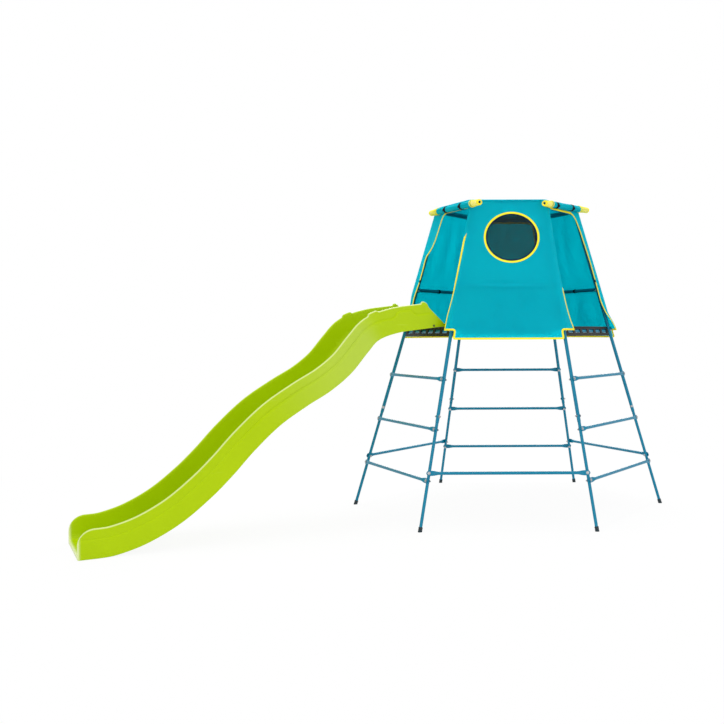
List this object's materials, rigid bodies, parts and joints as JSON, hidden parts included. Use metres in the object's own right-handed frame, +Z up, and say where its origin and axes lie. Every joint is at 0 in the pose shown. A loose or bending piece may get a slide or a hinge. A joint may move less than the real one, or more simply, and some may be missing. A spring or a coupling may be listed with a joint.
{
  "type": "play tower with slide",
  "caption": "Hexagonal steel climbing tower for a garden, with rungs, a deck, a fabric den on top and a wavy slide.",
  "frame": {"origin": "middle of the whole object's base rectangle, on the ground", "axes": "+Z up, -Y towards the face with the round window, and the slide leaves the tower towards -X and -Y"},
  "size_m": [3.5028, 2.4654, 2.0053],
  "materials": {
    "frame_paint": "teal powder coat, satin",
    "foot_rubber": "dark moulded rubber",
    "deck_plastic": "black moulded plastic, fine grain",
    "cover_cloth": "teal woven polyester with yellow piping",
    "window_net": "fine dark net",
    "slide_plastic": "lime blow-moulded plastic, satin",
    "fastener_zinc": "bright zinc"
  },
  "bodies": {
    "tower": {"upper_pole_right": "frame_paint", "upper_pole_back_right": "frame_paint", "upper_pole_back_left": "frame_paint", "upper_pole_left": "frame_paint", "upper_pole_front_left": "frame_paint", "upper_pole_front_right": "frame_paint", "lower_leg_right": "frame_paint", "lower_leg_back_right": "frame_paint", "lower_leg_back_left": "frame_paint", "lower_leg_left": "frame_paint", "lower_leg_front_left": "frame_paint", "lower_leg_front_right": "frame_paint", "foot_cap_right": "foot_rubber", "foot_cap_back_right": "foot_rubber", "foot_cap_back_left": "foot_rubber", "foot_cap_left": "foot_rubber", "foot_cap_front_left": "foot_rubber", "foot_cap_front_right": "foot_rubber", "rung_1_back": "frame_paint", "rung_1_slide": "frame_paint", "rung_1_entry": "frame_paint", "rung_2_back": "frame_paint", "rung_2_slide": "frame_paint", "rung_2_entry": "frame_paint", "rung_3_back": "frame_paint", "rung_3_slide": "frame_paint", "rung_3_entry": "frame_paint", "low_bar_back_right": "frame_paint", "low_bar_back_left": "frame_paint", "low_bar_front": "frame_paint", "guard_rail_back_right": "frame_paint", "guard_rail_back_left": "frame_paint", "guard_rail_front": "frame_paint", "deck_bar_back_right": "frame_paint", "deck_bar_back": "frame_paint", "deck_bar_back_left": "frame_paint", "deck_bar_slide": "frame_paint", "deck_bar_front": "frame_paint", "deck_bar_entry": "frame_paint", "top_bar_back_right": "frame_paint", "top_bar_back": "frame_paint", "top_bar_back_left": "frame_paint", "top_bar_slide": "frame_paint", "top_bar_front": "frame_paint", "top_bar_entry": "frame_paint", "deck_front": "deck_plastic", "deck_back": "deck_plastic", "den_front": "cover_cloth", "den_left": "cover_cloth", "den_right": "cover_cloth", "den_roof": "cover_cloth", "den_window_net": "window_net", "rolled_flap_slide": "cover_cloth", "rolled_flap_entry": "cover_cloth", "slide": "slide_plastic", "slide_bolt_front": "fastener_zinc", "slide_bolt_back": "fastener_zinc"},
    "back_flap": {"den_back_flap": "cover_cloth"}
  },
  "joints": [
    {"name": "back_flap_lift", "type": "hinge", "parent": "tower", "child": "back_flap", "pos_m": [0.70225, 0.73883, 1.9967], "axis": [1, 0, 0], "range_deg": [0, 70]}
  ]
}
